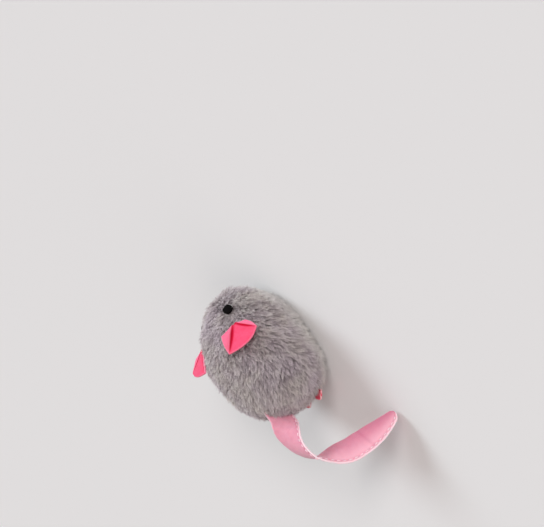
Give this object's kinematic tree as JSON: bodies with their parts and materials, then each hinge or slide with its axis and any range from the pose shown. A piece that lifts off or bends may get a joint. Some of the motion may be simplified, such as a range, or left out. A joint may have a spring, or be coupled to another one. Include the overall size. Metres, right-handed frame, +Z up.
{
  "type": "sound chip mouse cat toy",
  "caption": "Small plush mouse for cats with felt ears and feet, a ribbon tail and a motion-triggered sound module in its stuffing.",
  "frame": {"origin": "on the belly's flat base, under the widest section of the body", "axes": "+Z up, away from the surface that the mouse lies on; the mouse looks along -Y, so its tail is at +Y and its right side at -X"},
  "size_m": [0.0535, 0.0866, 0.0385],
  "materials": {
    "grey_fur": "short-pile faux fur",
    "belly_plush": "short plush",
    "wadding": "loose polyester fibre",
    "pink_felt": "cut felt",
    "crimson_felt": "cut felt",
    "eye_thread": "matte stitched thread",
    "pink_ribbon": "woven ribbon",
    "pale_thread": "polyester thread",
    "case_plastic": "moulded white plastic",
    "steel": "bright nickel",
    "brass": "thin rolled sheet",
    "ceramic": null,
    "laminate": "green glass-fibre laminate",
    "resin": "black epoxy",
    "red_insulation": "wire insulation",
    "black_insulation": "wire insulation"
  },
  "bodies": {
    "mouse_body": {"fur_panel_right": "grey_fur", "fur_panel_left": "grey_fur", "belly_panel": "belly_plush", "stuffing_front": "wadding", "stuffing_rear": "wadding", "eye_right": "eye_thread", "eye_left": "eye_thread", "module_case_lower": "case_plastic", "module_case_upper": "case_plastic", "case_screw_1": "steel", "case_screw_2": "steel", "circuit_board": "laminate", "sound_chip": "resin", "capacitor": "steel", "resistor": "resin", "battery_cell_1": "steel", "battery_cell_2": "steel", "battery_cell_3": "steel", "battery_bridge_lower": "steel", "battery_bridge_upper": "steel", "battery_contact_positive": "steel", "battery_contact_negative": "steel", "piezo_plate": "brass", "piezo_ceramic": "ceramic", "piezo_wire_red": "red_insulation", "piezo_wire_black": "black_insulation", "motion_switch_base": "resin", "motion_switch_can": "steel"},
    "right_ear": {"ear_right": "pink_felt"},
    "left_ear": {"ear_left": "pink_felt"},
    "right_foot": {"hind_foot_right": "crimson_felt"},
    "left_foot": {"hind_foot_left": "crimson_felt"},
    "tail": {"tail_ribbon": "pink_ribbon", "tail_stitching": "pale_thread"},
    "switch_ball": {"motion_switch_ball": "steel"}
  },
  "joints": [
    {"name": "tail_swing", "type": "hinge", "parent": "mouse_body", "child": "tail", "pos_m": [0, 0.02881, 0.029], "axis": [0, 0, 1], "range_deg": [-33, 33], "stiffness_Nm_per_rad": 0.00005},
    {"name": "right_ear_fold", "type": "hinge", "parent": "mouse_body", "child": "right_ear", "pos_m": [-0.01474, -0.0126, 0.02664], "axis": [-0.5736, 0, -0.8192], "range_deg": [-30, 20], "stiffness_Nm_per_rad": 0.0001},
    {"name": "left_ear_fold", "type": "hinge", "parent": "mouse_body", "child": "left_ear", "pos_m": [0.01474, -0.0126, 0.02664], "axis": [-0.5736, 0, 0.8192], "range_deg": [-30, 20], "stiffness_Nm_per_rad": 0.0001},
    {"name": "right_foot_flex", "type": "hinge", "parent": "mouse_body", "child": "right_foot", "pos_m": [-0.005, 0.02731, 0.0094], "axis": [1, 0, 0], "range_deg": [-12, 20], "stiffness_Nm_per_rad": 0.00001},
    {"name": "left_foot_flex", "type": "hinge", "parent": "mouse_body", "child": "left_foot", "pos_m": [0.005, 0.02731, 0.0094], "axis": [1, 0, 0], "range_deg": [-12, 20], "stiffness_Nm_per_rad": 0.00001},
    {"name": "switch_ball_travel", "type": "slide", "parent": "mouse_body", "child": "switch_ball", "axis": [0, 0, 1], "range_m": [0, 0.0019]}
  ]
}
